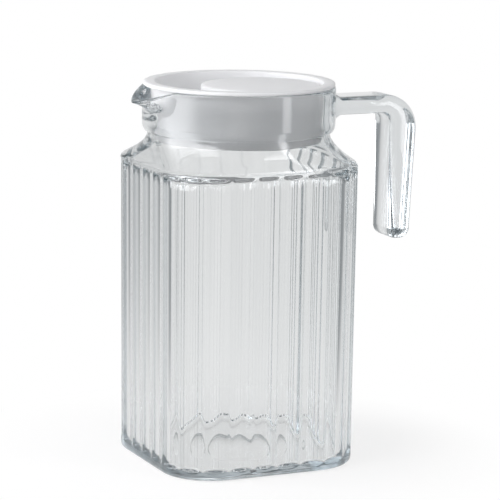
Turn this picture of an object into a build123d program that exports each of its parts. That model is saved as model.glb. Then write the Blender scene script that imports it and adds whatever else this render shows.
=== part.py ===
from build123d import *
import os
from math import atan2, cos, pi, radians, sin

# A square fluted glass jug with a pouring lip and a hook handle, closed by a moulded push-in lid.
# Millimetres. The origin is the middle of the foot, +Z is up, the handle is along +X and the lip along -X.

# Glass body: a rounded square with hollow flutes between sharp ridges
BODY_WIDTH = 96.0          # across the flats, over the ridges, where the shoulder starts
BODY_HEIGHT = 141.5        # foot to the start of the shoulder
BODY_DRAFT = 0.6           # how far each side leans in from the shoulder down to the foot
CORNER_RADIUS = 25.0
FLUTES_PER_SIDE = 7
FLUTE_DEPTH = 1.5
FLUTE_RUNOUT = 1.6         # height over which a flute fades out at each end
HEEL_HEIGHT = 4.0          # plain band under the flutes
HEEL_BEVEL = 1.0
WALL = 4.0                 # ridge to inner wall
FLOOR = 3.4
FLOOR_FILLET = 3.4

# Glass neck: a hollow-curved shoulder, a groove and a thick round collar
COLLAR_SETBACK = 3.0       # how far the collar stays inside the body's sides
COLLAR_HEIGHT = 21.5       # groove to rim
COLLAR_EDGE = 4.0          # height of the curved edge under the collar
COLLAR_BULGE = 0.9         # how far that edge swells from a straight bevel
RIM_ROUNDING = 1.0
GROOVE_DEPTH = 2.6
SHOULDER_HEIGHT = 12.7     # body to groove
SHOULDER_STEPS = 6
RIM_WALL = 4.0
NECK_WALL = 3.2            # glass behind the groove

# Pouring lip: a blunt beak pressed out of the collar
LIP_REACH = 9.2            # point of the V beyond the collar, before it is rounded
LIP_DROP = 5.4             # tip below the rim
LIP_DEPTH = 12.0           # rim down to where the beak leaves the collar
LIP_HALF_WIDTH = 17.5
LIP_TIP_RADIUS = 4.0
LIP_WALL = 1.8
LIP_STEPS = 4

# Hook handle: a flat arm off the collar and a free leg
HANDLE_BREADTH = 21.0
ARM_DROP = 6.9             # rim down to the top of the arm
ARM_THICKNESS = 8.6
FINGER_GAP = 27.0          # body to the inside of the leg
LEG_THICKNESS = 15.0       # at the bend
LEG_TAPER = 3.6            # thinner by this at the end
HANDLE_HEIGHT = 69.2       # top of the arm to the end of the leg
BEND_RADIUS = 17.0
INNER_BEND_RADIUS = 4.0
LEG_END_RADIUS = 4.6
HANDLE_ROUNDING = 3.4
ROOT_LENGTH = 4.0          # flared root beyond the collar
ROOT_FLARE = 3.0           # added on each side where the root meets the collar

# Moulded lid: a flange on the rim, a recess with a round grip in it, and a deep skirt in the neck
LID_CLEARANCE = 0.4
LID_WALL = 1.7
FLANGE_THICKNESS = 1.8
FLANGE_INSET = 0.4         # flange edge inside the collar
FLANGE_ROUNDING = 0.6
SKIRT_DEPTH = 26.0         # below the rim
RECESS_DEPTH = 9.0         # below the top of the flange
GRIP_RADIUS = 28.0
GRIP_DROP = 2.0            # grip top below the flange top

OVERCUT = 5.0              # how far a cutting solid runs past the face it opens
STRAIGHT = 0.0001          # a bow under this is a straight edge

FLUTES = 4 * FLUTES_PER_SIDE
FOOT_HALF = BODY_WIDTH / 2 - BODY_DRAFT
COLLAR_RADIUS = BODY_WIDTH / 2 - COLLAR_SETBACK
GROOVE_RADIUS = COLLAR_RADIUS - GROOVE_DEPTH
GROOVE_LEVEL = BODY_HEIGHT + SHOULDER_HEIGHT
RIM = GROOVE_LEVEL + COLLAR_HEIGHT
RIM_BORE = COLLAR_RADIUS - RIM_WALL
THROAT_BORE = GROOVE_RADIUS - NECK_WALL
BORE_SLOPE = (RIM_BORE - THROAT_BORE) / COLLAR_HEIGHT
ARM_TOP = RIM - ARM_DROP
ARM_MIDDLE = ARM_TOP - ARM_THICKNESS / 2
ROOT_END = COLLAR_RADIUS + ROOT_LENGTH
LEG_INSIDE = BODY_WIDTH / 2 + FINGER_GAP
LIP_BASE = COLLAR_RADIUS - RIM_WALL
LIP_ANGLE = atan2(LIP_HALF_WIDTH, COLLAR_RADIUS + LIP_REACH - LIP_BASE)


def square_point(half, radius, share, inset):
    """The point a share of the way round a rounded square, from the middle of its +X side."""
    flat = half - radius
    bend = pi / 2 * radius
    quarter, along = divmod(share * 4 * (2 * flat + bend), 2 * flat + bend)
    if along < flat:
        point = Vector(half - inset, along)
    elif along < flat + bend:
        angle = (along - flat) / radius
        point = Vector(flat + (radius - inset) * cos(angle), flat + (radius - inset) * sin(angle))
    else:
        point = Vector(2 * flat + bend - along, half - inset)
    return point.rotate(Axis.Z, 90 * quarter)


def square_outline(half, radius, height, hollow=0.0):
    """A closed wire round a rounded square, one edge to a flute, each edge hollowed at its middle."""
    edges = []
    for flute in range(FLUTES):
        first = square_point(half, radius, flute / FLUTES, 0)
        middle = square_point(half, radius, (flute + 0.5) / FLUTES, hollow)
        last = square_point(half, radius, (flute + 1) / FLUTES, 0)
        bow = (middle - (first + last) / 2).length
        edges.append(Line(first, last) if bow < STRAIGHT else ThreePointArc(first, middle, last))
    return Wire(edges).moved(Location((0, 0, height)))


def shoulder_outlines(half, radius, low, throat, high):
    """Outlines from a rounded square in to a circle, along a hollow curve that steepens as it climbs."""
    outlines = []
    for step in range(SHOULDER_STEPS + 1):
        rise = step / SHOULDER_STEPS
        spread = (1 - rise) ** 2
        side = throat + (half - throat) * spread
        corner = throat + (radius - throat) * spread
        outlines.append(square_outline(side, corner, low + (high - low) * rise))
    return outlines


def body_half(height):
    """Half the width over the ridges at a height."""
    return FOOT_HALF + BODY_DRAFT * height / BODY_HEIGHT


def body_outline(height, hollow=0.0, inset=0.0):
    return square_outline(body_half(height) - inset, CORNER_RADIUS - inset, height, hollow)


def jug_cavity():
    """The space inside the glass: floor fillet, straight walls, shoulder and tapered bore."""
    shoulder_low = BODY_HEIGHT - WALL
    outlines = []
    for angle in (0, 30, 60):
        lift = FLOOR_FILLET * (1 - cos(radians(angle)))
        outlines.append(body_outline(FLOOR + lift, inset=WALL + FLOOR_FILLET * (1 - sin(radians(angle)))))
    outlines.append(body_outline(FLOOR + FLOOR_FILLET, inset=WALL))
    outlines += shoulder_outlines(body_half(shoulder_low) - WALL, CORNER_RADIUS - WALL, shoulder_low,
                                  THROAT_BORE, GROOVE_LEVEL)
    mouth = RIM_BORE + BORE_SLOPE * OVERCUT
    outlines.append(square_outline(mouth, mouth, RIM + OVERCUT))
    return Solid.make_loft(outlines, ruled=True)


def jug_body():
    outlines = [
        body_outline(0, inset=HEEL_BEVEL),
        body_outline(HEEL_BEVEL),
        body_outline(HEEL_HEIGHT),
        body_outline(HEEL_HEIGHT + FLUTE_RUNOUT, FLUTE_DEPTH),
        body_outline(BODY_HEIGHT - FLUTE_RUNOUT, FLUTE_DEPTH),
        body_outline(BODY_HEIGHT),
    ]
    return Solid.make_loft(outlines, ruled=True) - jug_cavity()


def collar():
    """The round collar as a solid plug; the bore is cut later."""
    edge_top = GROOVE_LEVEL + COLLAR_EDGE
    edge = SagittaArc((COLLAR_RADIUS, edge_top), (GROOVE_RADIUS, GROOVE_LEVEL), COLLAR_BULGE)
    side = Polyline((COLLAR_RADIUS, edge_top), (COLLAR_RADIUS, RIM - RIM_ROUNDING),
                    (COLLAR_RADIUS - RIM_ROUNDING, RIM), (0, RIM), (0, GROOVE_LEVEL),
                    (GROOVE_RADIUS, GROOVE_LEVEL))
    return revolve(Plane.XZ * make_face(edge + side), Axis.Z)


def lip_outline(point, half_width, height):
    """A blunt V that points along -X, with its point rounded, based inside the collar."""
    back = LIP_BASE - LIP_HALF_WIDTH
    shape = make_face(Polyline((-back, half_width), (-LIP_BASE, half_width), (-point, 0),
                               (-LIP_BASE, -half_width), (-back, -half_width), close=True))
    return Pos(0, 0, height) * fillet(shape.vertices().sort_by(Axis.X)[0], LIP_TIP_RADIUS)


def lip_form(inset):
    """The beak, or its channel when inset: it sweeps out of the collar, then stands straight up."""
    half_width = LIP_HALF_WIDTH - inset / cos(LIP_ANGLE)
    start = COLLAR_RADIUS - inset / sin(LIP_ANGLE)
    low = RIM - LIP_DEPTH + inset
    high = RIM - LIP_DROP - LIP_WALL + inset
    faces = []
    for step in range(LIP_STEPS + 1):
        rise = step / LIP_STEPS
        faces.append(lip_outline(start + LIP_REACH * rise ** 2, half_width, low + (high - low) * rise))
    faces.append(lip_outline(start + LIP_REACH, half_width, RIM + inset))
    return loft(faces, ruled=True)


def lip_top():
    """The wedge above the beak, whose underside slopes down from the rim to the tip."""
    start = COLLAR_RADIUS - RIM_ROUNDING
    reach = 2 * (LIP_REACH + RIM_ROUNDING)
    fall = LIP_DROP / (LIP_REACH + RIM_ROUNDING) * reach
    side = Polyline((-start, RIM), (-start - reach, RIM - fall), (-start - reach, RIM + LIP_DEPTH),
                    (-start, RIM + LIP_DEPTH), close=True)
    return extrude(Plane.XZ * make_face(side), 2 * LIP_HALF_WIDTH, both=True)


def handle_root():
    """The flare that carries the arm, from inside the collar wall out to the arm's first section."""
    start = COLLAR_RADIUS - RIM_WALL / 2
    flare = 2 * ROOT_FLARE
    wide = RectangleRounded(HANDLE_BREADTH + flare, ARM_THICKNESS + flare, HANDLE_ROUNDING)
    slim = RectangleRounded(HANDLE_BREADTH, ARM_THICKNESS, HANDLE_ROUNDING)
    across = Plane((0, 0, ARM_MIDDLE), x_dir=(0, 1, 0), z_dir=(1, 0, 0))
    return loft([across.offset(start) * wide, across.offset(ROOT_END) * slim], ruled=True)


def jug_neck():
    shoulder = Solid.make_loft(shoulder_outlines(BODY_WIDTH / 2, CORNER_RADIUS, BODY_HEIGHT,
                                                 GROOVE_RADIUS, GROOVE_LEVEL), ruled=True)
    beak = lip_form(0) - lip_top()
    return shoulder + collar() + beak + handle_root() - lip_form(LIP_WALL) - jug_cavity()


def jug_handle():
    end = ARM_TOP - HANDLE_HEIGHT
    outside = LEG_INSIDE + LEG_THICKNESS
    side = Polyline((ROOT_END, ARM_TOP), (outside, ARM_TOP), (outside - LEG_TAPER, end), (LEG_INSIDE, end),
                    (LEG_INSIDE, ARM_TOP - ARM_THICKNESS), (ROOT_END, ARM_TOP - ARM_THICKNESS), close=True)
    face = make_face(side)
    points = face.vertices().sort_by(Axis.X)
    face = fillet(points[-1], BEND_RADIUS)
    low = face.vertices().group_by(Axis.Y)[0]
    face = fillet(low, LEG_END_RADIUS)
    inner = face.vertices().sort_by_distance((LEG_INSIDE, ARM_TOP - ARM_THICKNESS))[0]
    face = fillet(inner, INNER_BEND_RADIUS)
    hook = extrude(Plane.XZ * face, HANDLE_BREADTH / 2, both=True)
    sides = hook.faces().filter_by(Axis.Y)
    long_edges = [edge for edge in sides.edges() if edge.bounding_box().size.X + edge.center().X > ROOT_END]
    return fillet(long_edges, HANDLE_ROUNDING)


def skirt_radius(height):
    """The outside of the lid's skirt at a height, a clearance inside the tapered bore."""
    return RIM_BORE - LID_CLEARANCE - BORE_SLOPE * (RIM - height)


def lid():
    top = RIM + FLANGE_THICKNESS
    edge = COLLAR_RADIUS - FLANGE_INSET
    floor_top = top - RECESS_DEPTH
    floor_low = floor_top - LID_WALL
    bottom = RIM - SKIRT_DEPTH
    wall = Polyline((0, floor_low), (skirt_radius(floor_low) - LID_WALL, floor_low),
                    (skirt_radius(bottom) - LID_WALL, bottom), (skirt_radius(bottom), bottom),
                    (skirt_radius(RIM), RIM), (edge, RIM), (edge, top), (skirt_radius(top) - LID_WALL, top),
                    (skirt_radius(floor_top) - LID_WALL, floor_top), (0, floor_top), close=True)
    face = make_face(wall)
    corners = face.vertices().group_by(Axis.X)[-1]
    shell = revolve(Plane.XZ * fillet(corners, FLANGE_ROUNDING), Axis.Z)
    offset_x = skirt_radius(floor_top) - LID_WALL / 2 - GRIP_RADIUS
    grip_top = top - GRIP_DROP
    base = (Align.CENTER, Align.CENTER, Align.MIN)
    grip = Pos(offset_x, 0, floor_low) * Cylinder(GRIP_RADIUS, grip_top - floor_low, align=base)
    hollow = Pos(offset_x, 0, floor_low) * Cylinder(GRIP_RADIUS - LID_WALL, grip_top - floor_low - LID_WALL,
                                                    align=base)
    return shell + grip - hollow


os.makedirs("parts", exist_ok=True)
export_step(jug_body(), "parts/jug_body.step")
export_step(jug_neck(), "parts/jug_neck.step")
export_step(jug_handle(), "parts/jug_handle.step")
export_step(lid(), "parts/lid.step")
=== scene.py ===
from math import cos, pi, radians, sin, tan

import bmesh
import bpy
import numpy as np
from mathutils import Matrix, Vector


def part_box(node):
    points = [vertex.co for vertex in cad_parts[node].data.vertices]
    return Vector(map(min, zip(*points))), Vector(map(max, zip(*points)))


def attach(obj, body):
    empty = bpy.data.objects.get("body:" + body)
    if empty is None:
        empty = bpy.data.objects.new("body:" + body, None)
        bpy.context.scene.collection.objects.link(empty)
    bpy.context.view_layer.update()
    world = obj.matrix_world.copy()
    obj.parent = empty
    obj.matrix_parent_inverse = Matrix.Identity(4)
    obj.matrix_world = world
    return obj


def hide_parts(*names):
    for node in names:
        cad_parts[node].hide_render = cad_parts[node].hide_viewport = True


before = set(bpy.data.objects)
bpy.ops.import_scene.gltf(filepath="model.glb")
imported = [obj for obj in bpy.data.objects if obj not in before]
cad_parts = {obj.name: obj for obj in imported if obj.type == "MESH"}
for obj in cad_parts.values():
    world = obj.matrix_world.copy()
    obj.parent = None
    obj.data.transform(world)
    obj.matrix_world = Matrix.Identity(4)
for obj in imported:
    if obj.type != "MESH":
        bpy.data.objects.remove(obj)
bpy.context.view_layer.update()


# Glass shell: the jug's body, shoulder, collar and lip, pressed in one piece from clear soda glass.
# Hollow flutes run up a rounded square, and fire polishing has softened each ridge and edge.
# The shape follows formulas round its rings, so the rings are worked out and skinned.
_, body_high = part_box("jug_body")
neck_low, neck_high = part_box("jug_neck")
SIDE = body_high.y                  # half the width over the ridges, at the shoulder
DRAFT = 0.0006                      # each side leans in by this down to the foot
CORNER = 0.025
WALL = 0.004
FLOOR = 0.0034
FLOOR_FILLET = 0.0015
FLOOR_MARGIN = 0.00075              # a ring this far in from the fillet keeps the floor's shading flat
HEEL = 0.004                        # plain band under the flutes
HEEL_ROUNDING = 0.0025
HEEL_MARGIN = 0.0025                # a ring this far in from the heel does the same under the foot
FOOT_RECESS = 0.024                 # radius of the shallow round recess under the foot
FOOT_RECESS_RISE = 0.0012
FOOT_RECESS_PROFILE = ((0.1, 1), (0.87, 1), (0.96, 0.9), (0.983, 0.4), (1, 0))   # shares of those two
FOOT_RECESS_MARGIN = 0.002
FLUTES = 28
FLUTE_POINTS = 20
FLUTE_DEPTH = 0.0015
FLUTE_RUNOUT = 0.002                # height over which a flute fades out at the foot
FLUTE_TOP_RUNOUT = 0.0025           # and under the shoulder
RIDGE_SOFTNESS = 0.2                # rounding of a ridge, as a share of half a flute
CROWDING = 0.5                      # how far a flute's points gather towards its ridges
EVEN_END = 0.001                    # a straight wall ends in short faces, so that it is shaded straight
SHOULDER = body_high.z
SHOULDER_HEIGHT = 0.0127
SHOULDER_STEPS = 22
SHOULDER_START = -0.12              # where the turn from body to shoulder begins, as a share of its height
SHOULDER_SOFTNESS = 0.07
INNER_START = -0.2                  # the turn is slower inside
INNER_SOFTNESS = 0.1
RIM = neck_high.z
RIM_WALL = 0.004
RIM_ROUNDING = 0.001
COLLAR_SETBACK = 0.003
COLLAR = SIDE - COLLAR_SETBACK
COLLAR_EDGE = 0.004                 # height of the round edge under the collar
GROOVE_DEPTH = 0.0026
GROOVE = COLLAR - GROOVE_DEPTH
GROOVE_LEVEL = SHOULDER + SHOULDER_HEIGHT
GROOVE_WALL = 0.0032
BORE = COLLAR - RIM_WALL
THROAT = GROOVE - GROOVE_WALL
ARC_STEPS = 5
LIP_HALF_ANGLE = radians(23.5)
LIP_DEPTH = 0.012                   # rim down to where the lip leaves the collar
LIP_DROP = 0.0054                   # tip below the rim
LIP_WALL = 0.0018
LIP_TIP_SOFTNESS = radians(3)
LIP_FOOT_SOFTNESS = 0.12
LIP_STEPS = 7
CHANNEL_SHARE = 0.86                # half angle of the pouring channel, as a share of the lip's

spot = np.arange(FLUTE_POINTS) / FLUTE_POINTS
spot = spot - CROWDING * np.sin(2 * pi * spot) / (2 * pi)
way_round = ((np.arange(FLUTES)[:, None] + spot) / FLUTES).ravel()
from_ridge = np.hypot(1 - abs(2 * spot - 1), RIDGE_SOFTNESS) - RIDGE_SOFTNESS
flute_curve = np.tile(1 - (1 - from_ridge / from_ridge.max()) ** 2, FLUTES)
quarter_turn = np.linspace(0, pi / 2, ARC_STEPS + 1)


def square_ring(half, corner, height, hollow=0.0):
    """A ring of points round a square with rounded corners, hollowed between the ridges."""
    flat = half - corner
    bend = pi / 2 * corner
    quarter, along = np.divmod(way_round * 4 * (2 * flat + bend), 2 * flat + bend)
    angle = np.clip((along - flat) / corner, 0, pi / 2)
    reach = corner - hollow * flute_curve
    x = flat + reach * np.cos(angle) - np.clip(along - flat - bend, 0, None)
    y = flat + reach * np.sin(angle) + np.clip(along - flat, None, 0)
    c = np.cos(quarter * pi / 2)
    s = np.sin(quarter * pi / 2)
    return np.stack([c * x - s * y, s * x + c * y, np.full_like(x, height)], axis=1)


def side_at(height):
    """Half the body's width over the ridges, which narrows towards the foot."""
    return SIDE - DRAFT * (1 - height / SHOULDER)


def body_ring(height, inset=0.0, hollow=0.0):
    """A ring round the body at a height, set in from its side."""
    return square_ring(side_at(height) - inset, CORNER - inset, height, hollow)


def shoulder_rings(half, corner, low, throat, turn_start, softness):
    """Rings from a rounded square in to a circle, along a hollow curve that steepens as it climbs."""
    climb = np.linspace(turn_start, 1, SHOULDER_STEPS)
    turned = climb + np.hypot(climb, softness)
    turned = (turned - turned[0]) / (turned[-1] - turned[0])
    rings = []
    for rise, spread in zip(climb, (1 - turned) ** 2):
        rings.append(square_ring(throat + (half - throat) * spread, throat + (corner - throat) * spread,
                                 low + (GROOVE_LEVEL - low) * rise))
    return rings


def lip_share(ring, half_angle):
    """How much of the lip a ring's points take part in: 1 at its tip, fading to nothing at its sides."""
    aside = np.arctan2(ring[:, 1], -ring[:, 0])
    share = 1 - (np.hypot(aside, LIP_TIP_SOFTNESS) - LIP_TIP_SOFTNESS) / half_angle
    swell = share + np.hypot(share, LIP_FOOT_SOFTNESS)
    swell = swell - swell.min()
    return swell / swell.max()


def collar_ring(radius, height, half_angle=LIP_HALF_ANGLE, reach=0.0, drop=0.0):
    """A round ring, drawn out at -X by the lip's reach and down by its drop."""
    ring = square_ring(radius, radius, height)
    share = lip_share(ring, half_angle)
    ring[:, :2] *= (1 + share * reach / radius)[:, None]
    ring[:, 2] -= share * drop
    return ring


def bore_at(height):
    """Radius of the neck's bore, which narrows from the rim down to the throat."""
    return BORE - (BORE - THROAT) * (RIM - height) / (RIM - GROOVE_LEVEL)


outside = []
for radius_share, rise_share in FOOT_RECESS_PROFILE:
    radius = FOOT_RECESS * radius_share
    outside.append(square_ring(radius, radius, FOOT_RECESS_RISE * rise_share))
foot_start = FOOT_RECESS + FOOT_RECESS_MARGIN
outside.append(square_ring(foot_start, foot_start, 0))
outside.append(body_ring(0, HEEL_ROUNDING + HEEL_MARGIN))
for angle in quarter_turn:
    outside.append(body_ring(HEEL_ROUNDING * (1 - cos(angle)), HEEL_ROUNDING * (1 - sin(angle))))
flute_top = SHOULDER + SHOULDER_START * SHOULDER_HEIGHT
fade = np.linspace(0, 1, 2 * ARC_STEPS)
fade_depth = FLUTE_DEPTH * fade ** 2 * (3 - 2 * fade)
for share, hollow in zip(fade, fade_depth):
    outside.append(body_ring(HEEL + FLUTE_RUNOUT * share, hollow=hollow))
outside.append(body_ring(HEEL + FLUTE_RUNOUT + EVEN_END, hollow=FLUTE_DEPTH))
outside.append(body_ring(flute_top - FLUTE_TOP_RUNOUT - EVEN_END, hollow=FLUTE_DEPTH))
for share, hollow in zip(fade[::-1], fade_depth[::-1]):
    outside.append(body_ring(flute_top - FLUTE_TOP_RUNOUT * share, hollow=hollow))
outside += shoulder_rings(SIDE, CORNER, SHOULDER, GROOVE, SHOULDER_START, SHOULDER_SOFTNESS)[1:]
for angle in quarter_turn[1:]:
    radius = GROOVE + (COLLAR - GROOVE) * sin(angle)
    outside.append(collar_ring(radius, GROOVE_LEVEL + COLLAR_EDGE * (1 - cos(angle))))
outside.append(collar_ring(COLLAR, GROOVE_LEVEL + COLLAR_EDGE + EVEN_END))
lip_reach = -neck_low.x - COLLAR
lip_low = RIM - LIP_DEPTH
for lift in np.linspace(0, 1, LIP_STEPS):
    height = lip_low + (LIP_DEPTH - RIM_ROUNDING) * lift
    outside.append(collar_ring(COLLAR, height, reach=lip_reach * lift ** 2, drop=LIP_DROP * lift))
for angle in quarter_turn[1:]:
    radius = COLLAR - RIM_ROUNDING * (1 - cos(angle))
    height = RIM - RIM_ROUNDING * (1 - sin(angle))
    outside.append(collar_ring(radius, height, reach=lip_reach, drop=LIP_DROP))

inside = []
channel_angle = LIP_HALF_ANGLE * CHANNEL_SHARE
channel_reach = lip_reach + RIM_WALL - LIP_WALL - 2 * RIM_ROUNDING
for angle in reversed(quarter_turn[1:]):
    radius = BORE + RIM_ROUNDING * (1 - cos(angle))
    height = RIM - RIM_ROUNDING * (1 - sin(angle))
    inside.append(collar_ring(radius, height, channel_angle, channel_reach, LIP_DROP))
for lift in np.linspace(1, 0, LIP_STEPS):
    height = lip_low + LIP_WALL + (LIP_DEPTH - LIP_WALL - RIM_ROUNDING) * lift
    reach = channel_reach * lift ** 2
    inside.append(collar_ring(bore_at(height), height, channel_angle, reach, LIP_DROP * lift))
inside.append(collar_ring(bore_at(GROOVE_LEVEL + EVEN_END), GROOVE_LEVEL + EVEN_END))
inner_shoulder = SHOULDER - WALL
inner_side = side_at(inner_shoulder) - WALL
inside += reversed(shoulder_rings(inner_side, CORNER - WALL, inner_shoulder, THROAT,
                                  INNER_START, INNER_SOFTNESS))
inner_turn = inner_shoulder + INNER_START * (GROOVE_LEVEL - inner_shoulder)
inside.append(body_ring(inner_turn - EVEN_END, WALL))
inside.append(body_ring(FLOOR + FLOOR_FILLET + EVEN_END, WALL))
for angle in reversed(quarter_turn):
    inset = WALL + FLOOR_FILLET * (1 - sin(angle))
    inside.append(body_ring(FLOOR + FLOOR_FILLET * (1 - cos(angle)), inset))
inside.append(body_ring(FLOOR, WALL + FLOOR_FILLET + FLOOR_MARGIN))

# The first two faces close the middle of the recess and the floor, and the rest go from ring to ring.
points = np.concatenate(outside + inside)
count = len(way_round)
faces = [range(count - 1, -1, -1), range(len(points) - count, len(points))]
for row in range(0, len(points) - count, count):
    for near in range(count):
        far = (near + 1) % count
        faces.append((row + near, row + far, row + count + far, row + count + near))
shell_mesh = bpy.data.meshes.new("glass_jug")
shell_mesh.from_pydata(points, [], faces)
jug = bpy.data.objects.new("glass_jug", shell_mesh)
bpy.context.scene.collection.objects.link(jug)


# Handle: a solid glass hook pressed with the jug, with a flat arm off the collar and a free tapering leg.
# It is drawn from the side, thickened to its breadth, rounded along its edges, and fused to the collar.
handle_low, handle_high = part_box("jug_handle")
ARM_THICKNESS = 0.0086
LEG_INSIDE = 0.075                  # from the jug's axis
LEG_OUTSIDE = 0.090
LEG_TAPER = 0.0036                  # the leg's outside leans in by this down to its end
BEND_RADIUS = 0.017
INNER_BEND_RADIUS = 0.004
LEG_END_RADIUS = 0.0046
BEND_STEPS = 14
HANDLE_ROUNDING = 0.0041
ROUNDING_STEPS = 6
ROUND_PROFILE = 0.5                 # a bevel's profile that is an arc
ROOT_FLARE = 0.003
ROOT_DEPTH = 0.006                  # back from the arm's start into the collar's wall
NEAR = 1e-5                         # what is closer than this is at the same place
FLAT_ANGLE = radians(5)             # lines that bend less than this run on as one
SMOOTHING = radians(32)             # faces that meet more flatly than this are shaded as one


def pick(kind, test):
    """In edit mode, select only the verts, edges or faces whose every corner passes a test."""
    bpy.ops.mesh.select_mode(type={"verts": "VERT", "edges": "EDGE", "faces": "FACE"}[kind])
    bpy.ops.mesh.select_all(action="DESELECT")
    mesh = bmesh.from_edit_mesh(bpy.context.edit_object.data)
    for part in getattr(mesh, kind):
        corners = [part] if kind == "verts" else part.verts
        if all(test(corner.co) for corner in corners):
            part.select_set(True)
    bmesh.update_edit_mesh(bpy.context.edit_object.data)


def round_corner(x, z, radius):
    """Round one corner of the handle's side outline."""
    pick("verts", lambda at: abs(at.x - x) < NEAR and abs(at.z - z) < NEAR)
    bpy.ops.mesh.bevel(affect="VERTICES", offset=radius, offset_type="OFFSET", segments=BEND_STEPS,
                       clamp_overlap=False)


def select_only(piece):
    """Make one object the only one that operators act on."""
    bpy.ops.object.select_all(action="DESELECT")
    bpy.context.view_layer.objects.active = piece
    piece.select_set(True)


def fuse(piece, addition):
    """Join an addition to a piece as one solid, and shade the whole smooth between its sharp edges."""
    select_only(piece)
    union = piece.modifiers.new("union", "BOOLEAN")
    union.operation = "UNION"
    union.solver = "MANIFOLD"
    union.object = addition
    bpy.ops.object.modifier_apply(modifier=union.name)
    bpy.data.objects.remove(addition)
    bpy.ops.object.shade_smooth_by_angle(angle=SMOOTHING)


breadth = handle_high.y - handle_low.y
arm_low = handle_high.z - ARM_THICKNESS
arm_middle = ((handle_low.x + LEG_OUTSIDE) / 2, handle_low.y, handle_high.z - ARM_THICKNESS / 2)
bpy.ops.object.select_all(action="DESELECT")
bpy.ops.mesh.primitive_plane_add(size=1, rotation=(pi / 2, 0, 0), location=arm_middle)
handle = bpy.context.object
handle.scale = (LEG_OUTSIDE - handle_low.x, ARM_THICKNESS, 1)
bpy.ops.object.transform_apply(location=True, rotation=True, scale=True)
bpy.ops.object.mode_set(mode="EDIT")
bpy.ops.mesh.select_all(action="SELECT")
bpy.ops.mesh.bisect(plane_co=(LEG_INSIDE, 0, 0), plane_no=(1, 0, 0))
pick("edges", lambda at: abs(at.z - arm_low) < NEAR and at.x > LEG_INSIDE - NEAR)
bpy.ops.mesh.extrude_edges_move(TRANSFORM_OT_translate={"value": (0, 0, handle_low.z - arm_low)})
pick("verts", lambda at: at.z < handle_low.z + NEAR and at.x > LEG_OUTSIDE - NEAR)
bpy.ops.transform.translate(value=(-LEG_TAPER, 0, 0))
bpy.ops.mesh.select_all(action="SELECT")
bpy.ops.mesh.dissolve_limited(angle_limit=FLAT_ANGLE)
round_corner(LEG_OUTSIDE, handle_high.z, BEND_RADIUS)
round_corner(LEG_INSIDE, arm_low, INNER_BEND_RADIUS)
round_corner(LEG_INSIDE, handle_low.z, LEG_END_RADIUS)
round_corner(LEG_OUTSIDE - LEG_TAPER, handle_low.z, LEG_END_RADIUS)
bpy.ops.mesh.select_all(action="SELECT")
bpy.ops.mesh.extrude_region_move(TRANSFORM_OT_translate={"value": (0, breadth, 0)})
bpy.ops.mesh.select_all(action="SELECT")
bpy.ops.mesh.normals_make_consistent(inside=False)
for side in (handle_low.y, handle_high.y):
    pick("edges", lambda at: abs(at.y - side) < NEAR)
    mesh = bmesh.from_edit_mesh(handle.data)
    for edge in mesh.edges:
        if all(corner.co.x < handle_low.x + NEAR for corner in edge.verts):
            edge.select_set(False)
    bpy.ops.mesh.bevel(affect="EDGES", offset=HANDLE_ROUNDING, segments=ROUNDING_STEPS,
                       profile=ROUND_PROFILE, clamp_overlap=False)
pick("faces", lambda at: at.x < handle_low.x + NEAR)
bpy.ops.mesh.extrude_region_move(TRANSFORM_OT_translate={"value": (-ROOT_DEPTH, 0, 0)})
bpy.ops.transform.resize(value=(1, 1 + 2 * ROOT_FLARE / breadth, 1 + 2 * ROOT_FLARE / ARM_THICKNESS))
bpy.ops.object.mode_set(mode="OBJECT")
fuse(jug, handle)


# Finish of the glass: clear, with a cool grey that deepens with its thickness, so that edges look darker.
# Its skin is smooth, with the slow ripple that pressing leaves.
GLASS_TINT = (0.985, 0.990, 0.990, 1)
GLASS_DEPTH_TINT = (0.30, 0.40, 0.45, 1)
GLASS_DENSITY = 10                  # light lost to the depth tint, per metre
GLASS_IOR = 1.5
RIPPLE_SCALE = 25
RIPPLE_HEIGHT = 0.00002


class Link:
    """A node's output, which takes part in sums and products as a number does."""

    def __init__(self, tree, socket=None):
        self.tree = tree
        self.socket = socket

    def node(self, kind, inputs, output=0, **settings):
        """Add a node: its settings first, then a value or a link for each socket."""
        node = self.tree.nodes.new("ShaderNode" + kind)
        for name, value in settings.items():
            setattr(node, name, value)
        for name, value in inputs.items():
            if isinstance(value, Link):
                self.tree.links.new(value.socket, node.inputs[name])
            else:
                node.inputs[name].default_value = value
        return Link(self.tree, node.outputs[output])

    def maths(self, operation, first, second=0.0):
        """Add a Math node, for one value or two."""
        return self.node("Math", {0: first, 1: second}, operation=operation)

    def __add__(self, other):
        return self.maths("ADD", self, other)

    def __sub__(self, other):
        return self.maths("SUBTRACT", self, other)

    def __rsub__(self, other):
        return self.maths("SUBTRACT", other, self)

    def __mul__(self, other):
        return self.maths("MULTIPLY", self, other)

    def __truediv__(self, other):
        return self.maths("DIVIDE", self, other)

    def __rtruediv__(self, other):
        return self.maths("DIVIDE", other, self)

    __radd__ = __add__
    __rmul__ = __mul__


def fresh_nodes(owner):
    """Empty the nodes of a material, a lamp or the world, and give a start for its links."""
    owner.use_nodes = True
    owner.node_tree.nodes.clear()
    return Link(owner.node_tree)


def finish_nodes(start, kind, **shaders):
    """Join shaders to a material's, lamp's or world's output, each by the name of its socket."""
    output = start.tree.nodes.new("ShaderNodeOutput" + kind)
    for name, shader in shaders.items():
        start.tree.links.new(shader.socket, output.inputs[name])


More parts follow.
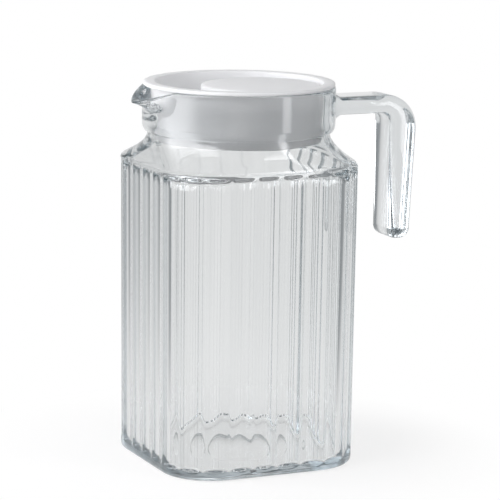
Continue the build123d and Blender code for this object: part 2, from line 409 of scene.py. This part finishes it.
glass = bpy.data.materials.new("clear_pressed_glass")
start = fresh_nodes(glass)
place = start.node("TexCoord", {}, "Object")
ripple = start.node("TexNoise", {"Vector": place, "Scale": RIPPLE_SCALE, "Detail": 0.0})
bump = start.node("Bump", {"Height": ripple, "Strength": 1.0, "Distance": RIPPLE_HEIGHT})
skin = start.node("BsdfPrincipled", {
    "Base Color": GLASS_TINT, "Roughness": 0.0, "IOR": GLASS_IOR,
    "Transmission Weight": 1.0, "Normal": bump})
thickness_tint = start.node("VolumeAbsorption", {"Color": GLASS_DEPTH_TINT, "Density": GLASS_DENSITY})
finish_nodes(start, "Material", Surface=skin, Volume=thickness_tint)
jug.data.materials.clear()
jug.data.materials.append(glass)
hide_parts("jug_body", "jug_neck", "jug_handle")
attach(jug, "jug")


# Lid: one moulding of white plastic that pushes into the neck and rests on the rim by its flange.
# Its top is sunk, with a round grip left standing in the hollow, against the wall on the handle's side.
# Its finish is satin, a touch uneven in gloss, with the faint grain of the mould.
lid_low, lid_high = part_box("lid")
LID_STEPS = 180
LID_WALL = 0.0017
LID_CLEARANCE = 0.0004
LID_CORNER = 0.0008                 # rounding of the recess's edges and of the corner under its floor
SKIRT_END = (0.0004, 0.0006)        # roundings of the skirt's lower edge, inside and outside
FLANGE_ROOT = 0.0003                # rounding between the skirt and the flange
FLANGE_EDGE = (0.0005, 0.0009)      # roundings of the flange's edge, below and above
LID_RECESS_DEPTH = 0.009
GRIP_RADIUS = 0.028
GRIP_DROP = 0.002                   # top of the grip below the top of the flange
GRIP_ROUNDING = 0.0012
GRIP_ROUNDING_STEPS = 4
LID_WHITE = (0.88, 0.885, 0.89, 1)
LID_SHADE = (0.84, 0.845, 0.855, 1)
LID_CLOUDINESS = 0.7                # share of the light that goes into the plastic and through thin walls
LID_GLOW_DEPTH = 0.004
LID_ROUGHNESS = 0.3
LID_UNEVENNESS = 0.12               # what the clouds add to the roughness
CLOUD_SCALE = 60
GRAIN_SCALE = 2500
GRAIN_STRENGTH = 0.15
GRAIN_HEIGHT = 0.0001


def rounded(corners):
    """A line through corners (across, height, radius), each one rounded to its radius."""
    line = []
    for before, corner, after in zip([corners[0]] + corners, corners, corners[1:] + [corners[-1]]):
        point = Vector(corner[:2])
        radius = corner[2]
        if radius == 0:
            line.append(point)
            continue
        back = (Vector(before[:2]) - point).normalized()
        on = (Vector(after[:2]) - point).normalized()
        half = back.angle(on) / 2
        centre = point + (back + on).normalized() * radius / sin(half)
        first = point + back * radius / tan(half) - centre
        last = point + on * radius / tan(half) - centre
        for step in range(ARC_STEPS + 1):
            line.append(centre + first.slerp(last, step / ARC_STEPS).normalized() * radius)
    return line


def skirt(height):
    """The outside of the lid's skirt at a height, a clearance inside the tapered bore."""
    return bore_at(height) - LID_CLEARANCE


def mix_colours(start, share, first, second):
    """The first colour where the share is 0, the second where it is 1."""
    return start.node("Mix", {0: share, 6: first, 7: second}, 2, data_type="RGBA")


recess_floor = lid_high.z - LID_RECESS_DEPTH
underside = recess_floor - LID_WALL
lid_line = rounded([
    (0, underside, 0),
    (skirt(underside) - LID_WALL, underside, LID_CORNER),
    (skirt(lid_low.z) - LID_WALL, lid_low.z, SKIRT_END[0]),
    (skirt(lid_low.z), lid_low.z, SKIRT_END[1]),
    (skirt(RIM), RIM, FLANGE_ROOT),
    (lid_high.x, RIM, FLANGE_EDGE[0]),
    (lid_high.x, lid_high.z, FLANGE_EDGE[1]),
    (skirt(lid_high.z) - LID_WALL, lid_high.z, LID_CORNER),
    (skirt(recess_floor) - LID_WALL, recess_floor, LID_CORNER),
    (0, recess_floor, 0)])
lid_points = [(at.x, 0, at.y) for at in lid_line]
lid_edges = [(step, step + 1) for step in range(len(lid_line) - 1)]
lid_mesh = bpy.data.meshes.new("white_lid")
lid_mesh.from_pydata(lid_points, lid_edges, [])
lid = bpy.data.objects.new("white_lid", lid_mesh)
bpy.context.scene.collection.objects.link(lid)
select_only(lid)
bpy.ops.object.mode_set(mode="EDIT")
bpy.ops.mesh.select_all(action="SELECT")
bpy.ops.mesh.spin(steps=LID_STEPS, angle=2 * pi, center=(0, 0, 0), axis=(0, 0, 1))
bpy.ops.mesh.select_all(action="SELECT")
bpy.ops.mesh.remove_doubles(threshold=NEAR)
bpy.ops.mesh.normals_make_consistent(inside=False)
bpy.ops.object.mode_set(mode="OBJECT")

grip_top = lid_high.z - GRIP_DROP
grip_x = skirt(recess_floor) - LID_WALL / 2 - GRIP_RADIUS
grip_low = (recess_floor + underside) / 2
bpy.ops.object.select_all(action="DESELECT")
bpy.ops.mesh.primitive_cylinder_add(vertices=LID_STEPS, radius=GRIP_RADIUS, depth=grip_top - grip_low,
                                    location=(grip_x, 0, (grip_top + grip_low) / 2))
bpy.ops.object.transform_apply(location=True, rotation=True, scale=True)
grip = bpy.context.object
bpy.ops.object.mode_set(mode="EDIT")
pick("edges", lambda at: at.z > grip_top - NEAR)
bpy.ops.mesh.bevel(affect="EDGES", offset=GRIP_ROUNDING, segments=GRIP_ROUNDING_STEPS,
                   profile=ROUND_PROFILE)
bpy.ops.object.mode_set(mode="OBJECT")
fuse(lid, grip)

plastic = bpy.data.materials.new("white_moulded_plastic")
start = fresh_nodes(plastic)
place = start.node("TexCoord", {}, "Object")
cloud = start.node("TexNoise", {"Vector": place, "Scale": CLOUD_SCALE, "Detail": 3.0})
grain = start.node("TexNoise", {"Vector": place, "Scale": GRAIN_SCALE, "Detail": 2.0})
bump = start.node("Bump", {"Height": grain, "Strength": GRAIN_STRENGTH, "Distance": GRAIN_HEIGHT})
satin = start.node("BsdfPrincipled", {
    "Base Color": mix_colours(start, cloud, LID_WHITE, LID_SHADE),
    "Roughness": LID_ROUGHNESS + cloud * LID_UNEVENNESS, "Normal": bump,
    "Subsurface Weight": LID_CLOUDINESS, "Subsurface Radius": (1, 1, 1),
    "Subsurface Scale": LID_GLOW_DEPTH})
finish_nodes(start, "Material", Surface=satin)
lid.data.materials.clear()
lid.data.materials.append(plastic)
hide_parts("lid")
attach(lid, "lid")


# Studio: a pale floor and a white backdrop, with a dark zone to each side that draws the glass's edges
# and a pale room beyond it. A broad soft box stands on the left and a narrow one on the right, as the
# collar's reflections show, and a third is high at the front left.
CAMERA_AZIMUTH = -24.18             # degrees round the jug from -Y, towards +X
BEHIND = 180                        # turns in degrees from the camera's side of the jug
TO_THE_RIGHT = 90
WHITE = (1, 1, 1, 1)
BLACK = (0, 0, 0, 1)
FLOOR_WIDTH = 6
FLOOR_DROP = 0.0002                 # keeps the floor clear of the foot
FLOOR_PALE = (0.8, 0.8, 0.8, 1)     # the floor's colour in scattered light
FLOOR_SHADE = 0.25                  # how much of what is seen of the floor takes the jug's shadow
FLOOR_GLOW = 0.77                   # and how much shines by itself
FLOOR_FADE = (0.07, 0.14)           # distances between which the floor runs out to plain white
WEDGE_START = 0.25                  # the white on the floor spreads from a point this far before the jug
BACKDROP_WHITE = (0.82, 0.82, 0.82, 1)   # the white that the glass shows
BACKDROP_EDGE = 18                  # half angle of the white behind the jug
BACKDROP_FADE = 52                  # half angle at which it has gone dark
DARK_SIDE = (0.23, 0.245, 0.255, 1)
DARK_FLOOR = (0.28, 0.295, 0.305, 1)
PALE_SIDE = (0.55, 0.56, 0.565, 1)  # the room beyond the dark zone
PALE_MIDDLE = -0.25                 # its middle, as a cosine from straight behind the jug
PALE_RANGE = (0.35, 0.6)            # how far from its middle it is full, and how far it has gone dark
STRAY_LIGHT = (0.36, 0.36, 0.365, 1)     # the room's even light on what is not glass
LEFT_BOX = dict(turn=-77, distance=0.75, middle=0.385, aim=0.385, size=(1.05, 0.73), power=9)
RIGHT_BOX = dict(turn=57, distance=0.75, middle=0.385, aim=0.385, size=(0.22, 0.73), power=2.5)
HIGH_BOX = dict(turn=-45, distance=1.0, middle=0.8, aim=0.15, size=(1.0, 0.8), power=10)
BOX_WHITE = (0.98, 0.98, 1, 1)
BOX_MIDDLE = 0.5                    # across a box, as a share of its width
BOX_FULL = 0.1                      # a box is at its brightest this near its middle
LIGHT_BOUNCES = 32                  # light goes to and fro inside the glass before it leaves


def around(turn):
    """The level direction that lies to the right of the camera's by a turn in degrees."""
    heading = radians(CAMERA_AZIMUTH + turn)
    return Vector((sin(heading), -cos(heading), 0))


def faded(start, value, none, full):
    """0 where a value is at none, 1 where it is at full, and a smooth change between."""
    return start.node("MapRange", {"Value": value, "From Min": none, "From Max": full},
                      interpolation_type="SMOOTHSTEP")


def soft_box(name, turn, distance, middle, aim, size, power):
    """A soft box at one height that faces the jug's axis at another, and dims towards its sides."""
    lamp = bpy.data.lights.new(name, "AREA")
    lamp.shape = "RECTANGLE"
    lamp.size, lamp.size_y = size
    lamp.energy = power
    start = fresh_nodes(lamp)
    place = start.node("NewGeometry", {}, "Parametric")
    across = start.node("SeparateXYZ", {"Vector": place}, "X")
    aside = start.maths("ABSOLUTE", across - BOX_MIDDLE)
    cloth = mix_colours(start, faded(start, aside, BOX_MIDDLE, BOX_FULL), BLACK, BOX_WHITE)
    finish_nodes(start, "Light", Surface=start.node("Emission", {"Color": cloth, "Strength": 1.0}))
    box = bpy.data.objects.new(name, lamp)
    box.location = around(turn) * distance + Vector((0, 0, middle))
    box.rotation_euler = (box.location - Vector((0, 0, aim))).to_track_quat("Z", "Y").to_euler()
    bpy.context.scene.collection.objects.link(box)


def seen_directly(start):
    """1 for a ray from the camera, by way of glass or a reflection too, and 0 for scattered light."""
    camera_ray = start.node("LightPath", {}, "Is Camera Ray")
    glossy_ray = start.node("LightPath", {}, "Is Glossy Ray")
    glass_ray = start.node("LightPath", {}, "Is Transmission Ray")
    scattered = start.node("Clamp", {"Value": start.node("LightPath", {}, "Diffuse Depth")})
    return (1 - scattered) * start.node("Clamp", {"Value": camera_ray + glossy_ray + glass_ray})


def along(start, vector, turn):
    """How far a vector goes along a level direction."""
    direction = tuple(around(turn))
    return start.node("VectorMath", {0: vector, 1: direction}, "Value", operation="DOT_PRODUCT")


def seen_tone(start, behind, dark):
    """White for the camera. Glass sees white behind the jug, then dark, then a pale room.

    What is given as behind is the cosine of a direction's angle from straight behind the jug.
    """
    white = faded(start, behind, cos(radians(BACKDROP_FADE)), cos(radians(BACKDROP_EDGE)))
    aside = start.maths("ABSOLUTE", behind - PALE_MIDDLE)
    pale = faded(start, aside, PALE_RANGE[1], PALE_RANGE[0])
    tone = mix_colours(start, white, mix_colours(start, pale, dark, PALE_SIDE), BACKDROP_WHITE)
    return mix_colours(start, start.node("LightPath", {}, "Is Camera Ray"), tone, WHITE)


soft_box("left_soft_box", **LEFT_BOX)
soft_box("right_soft_box", **RIGHT_BOX)
soft_box("high_soft_box", **HIGH_BOX)

bpy.ops.object.select_all(action="DESELECT")
bpy.ops.mesh.primitive_plane_add(size=FLOOR_WIDTH, location=(0, 0, -FLOOR_DROP))
floor = bpy.context.object
floor.name = "floor"
floor_paint = bpy.data.materials.new("pale_floor")
start = fresh_nodes(floor_paint)
paint = start.node("BsdfDiffuse", {"Color": FLOOR_PALE})
place = start.node("NewGeometry", {}, "Position")
depth = start.maths("MAXIMUM", along(start, place, BEHIND) + WEDGE_START, WEDGE_START)
across = along(start, place, TO_THE_RIGHT)
slant = start.maths("SQRT", depth * depth + across * across)
shown = seen_tone(start, depth / slant, DARK_FLOOR)
shaded = start.node("BsdfDiffuse", {"Color": mix_colours(start, FLOOR_SHADE, BLACK, shown)})
glow = start.node("Emission", {"Color": shown, "Strength": FLOOR_GLOW})
near_jug = start.node("AddShader", {0: shaded, 1: glow})
far_off = start.node("Emission", {"Color": shown, "Strength": 1.0})
away = start.node("VectorMath", {0: place}, "Value", operation="LENGTH")
seen = start.node("MixShader", {0: faded(start, away, *FLOOR_FADE), 1: near_jug, 2: far_off})
surface = start.node("MixShader", {0: seen_directly(start), 1: paint, 2: seen})
finish_nodes(start, "Material", Surface=surface)
floor.data.materials.append(floor_paint)

world = bpy.data.worlds.new("studio")
bpy.context.scene.world = world
start = fresh_nodes(world)
direction = start.node("TexCoord", {}, "Generated")
shown = seen_tone(start, along(start, direction, BEHIND), DARK_SIDE)
light = mix_colours(start, seen_directly(start), STRAY_LIGHT, shown)
finish_nodes(start, "World", Surface=start.node("Background", {"Color": light, "Strength": 1.0}))
bpy.context.scene.view_settings.view_transform = "Standard"
bpy.context.scene.cycles.max_bounces = LIGHT_BOUNCES
bpy.context.scene.cycles.glossy_bounces = LIGHT_BOUNCES
bpy.context.scene.cycles.transmission_bounces = LIGHT_BOUNCES


# Camera: a long lens a little above the jug, turned to see one side wide and the lip's side narrow.
# Its place, turn and lens are fitted to the lid's ellipse, the flute tops, the foot and the body's sides.
CAMERA_DISTANCE = 1.2304            # metres from the jug's axis
CAMERA_HEIGHT = 0.3270
CAMERA_PITCH = 10.555               # degrees down, and the next two in degrees as well
CAMERA_YAW = -0.281
CAMERA_ROLL = 0.763
CAMERA_LENS = 192.13                # millimetres, as the sensor is
CAMERA_SENSOR = 36
camera_data = bpy.data.cameras.new("camera")
camera_data.sensor_width = CAMERA_SENSOR
camera_data.lens = CAMERA_LENS
camera = bpy.data.objects.new("camera", camera_data)
camera.location = around(0) * CAMERA_DISTANCE + Vector((0, 0, CAMERA_HEIGHT))
camera.rotation_euler = (pi / 2 - radians(CAMERA_PITCH), 0, radians(CAMERA_AZIMUTH + CAMERA_YAW))
camera.rotation_euler.rotate_axis("Z", radians(CAMERA_ROLL))
bpy.context.scene.collection.objects.link(camera)
bpy.context.scene.camera = camera
